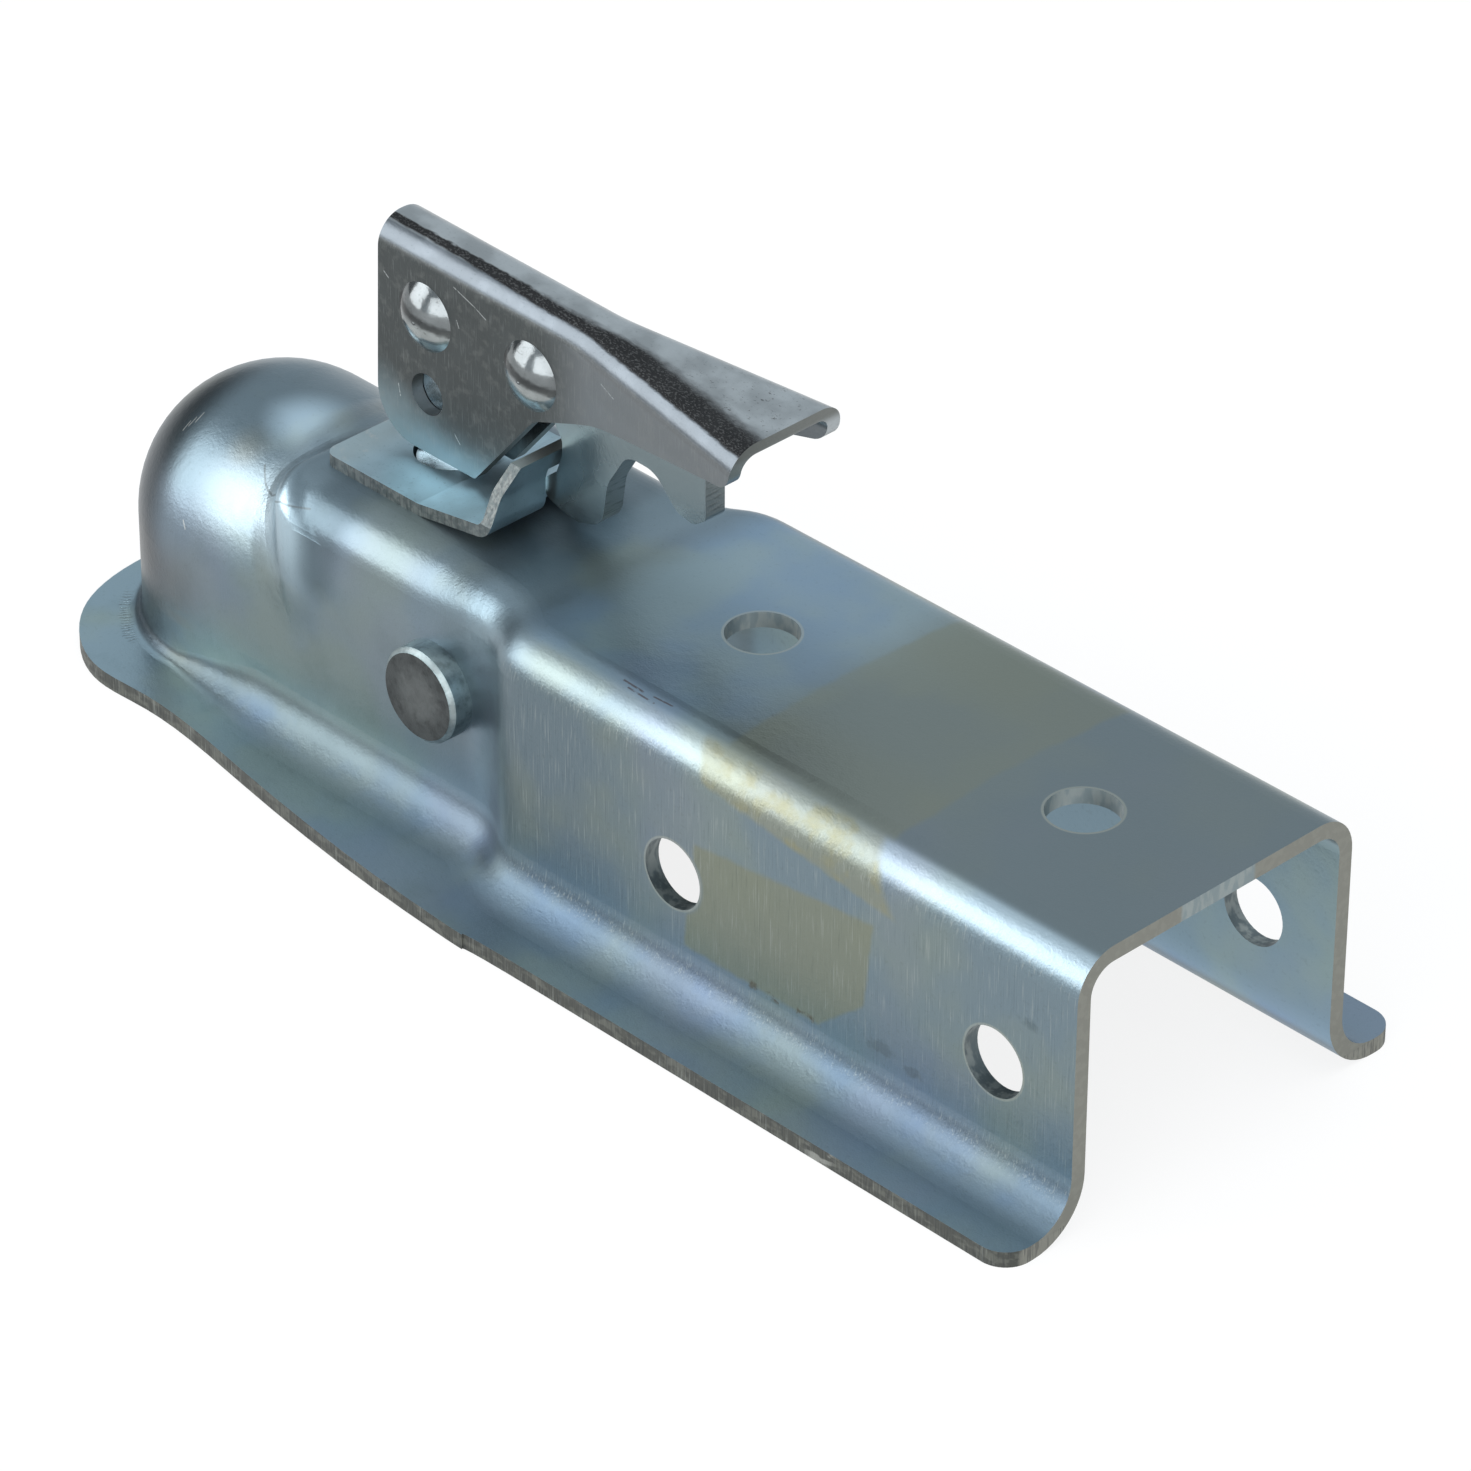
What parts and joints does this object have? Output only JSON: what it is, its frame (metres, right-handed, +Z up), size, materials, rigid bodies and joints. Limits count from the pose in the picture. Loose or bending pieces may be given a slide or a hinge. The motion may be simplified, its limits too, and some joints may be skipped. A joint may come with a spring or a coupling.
{
  "type": "trailer coupling head",
  "caption": "Pressed steel trailer coupling head with a ball dome, an open tongue channel and a cam lever with a trigger latch.",
  "frame": {"origin": "on the upright axis of the ball socket, in the plane of the flange's underside", "axes": "+Z up, +X from the ball dome to the open tail of the channel, Y across"},
  "size_m": [0.2857, 0.1064, 0.1104],
  "materials": {
    "zinc_housing": "bright zinc plate with a faint blue passivation and yellowish patches",
    "zinc_pin": "zinc plate over a rough rivet head",
    "zinc_saddle": "bright zinc plate",
    "zinc_small": "bright zinc plate",
    "cast_clamp": "zinc plate over a rough casting",
    "zinc_bolt": "bright zinc plate",
    "nylon": "plain nylon",
    "spring_steel": "oiled spring wire",
    "zinc_lever": "bright zinc plate, scratched",
    "zinc_rivet": "bright zinc plate on a smooth head",
    "zinc_trigger": "bright zinc plate"
  },
  "bodies": {
    "body": {"housing": "zinc_housing", "cross_pin": "zinc_pin", "saddle_plate": "zinc_saddle", "spring_washer": "zinc_small", "clamp_spring": "spring_steel"},
    "bolt": {"draw_bolt": "zinc_bolt", "lock_nut": "zinc_small", "nut_ring": "nylon"},
    "clamp": {"ball_clamp": "cast_clamp"},
    "lever": {"lever_handle": "zinc_lever", "lever_rivet": "zinc_rivet", "trigger_rivet": "zinc_rivet", "trigger_spring": "spring_steel"},
    "trigger": {"trigger": "zinc_trigger"}
  },
  "joints": [
    {"name": "bolt_slide", "type": "slide", "parent": "body", "child": "bolt", "axis": [0, 0, -1], "range_m": [0, 0.0061]},
    {"name": "clamp_pivot", "type": "hinge", "parent": "body", "child": "clamp", "pos_m": [0.0769, 0, 0.0331], "axis": [0, -1, 0], "range_deg": [0, 12.7], "deforming": ["clamp_spring"]},
    {"name": "lever_pivot", "type": "hinge", "parent": "bolt", "child": "lever", "pos_m": [0.05, 0, 0.094], "axis": [0, -1, 0], "range_deg": [0, 90]},
    {"name": "trigger_pivot", "type": "hinge", "parent": "lever", "child": "trigger", "pos_m": [0.0792, 0, 0.0934], "axis": [0, -1, 0], "range_deg": [0, 12], "stiffness_Nm_per_rad": 0.05, "springref_deg": -11.46, "deforming": ["trigger_spring"]}
  ],
  "couplings": [
    {"joint": "bolt_slide", "follows": "lever_pivot", "m_per_rad": 0.00382},
    {"joint": "clamp_pivot", "follows": "lever_pivot", "ratio": 0.14}
  ]
}
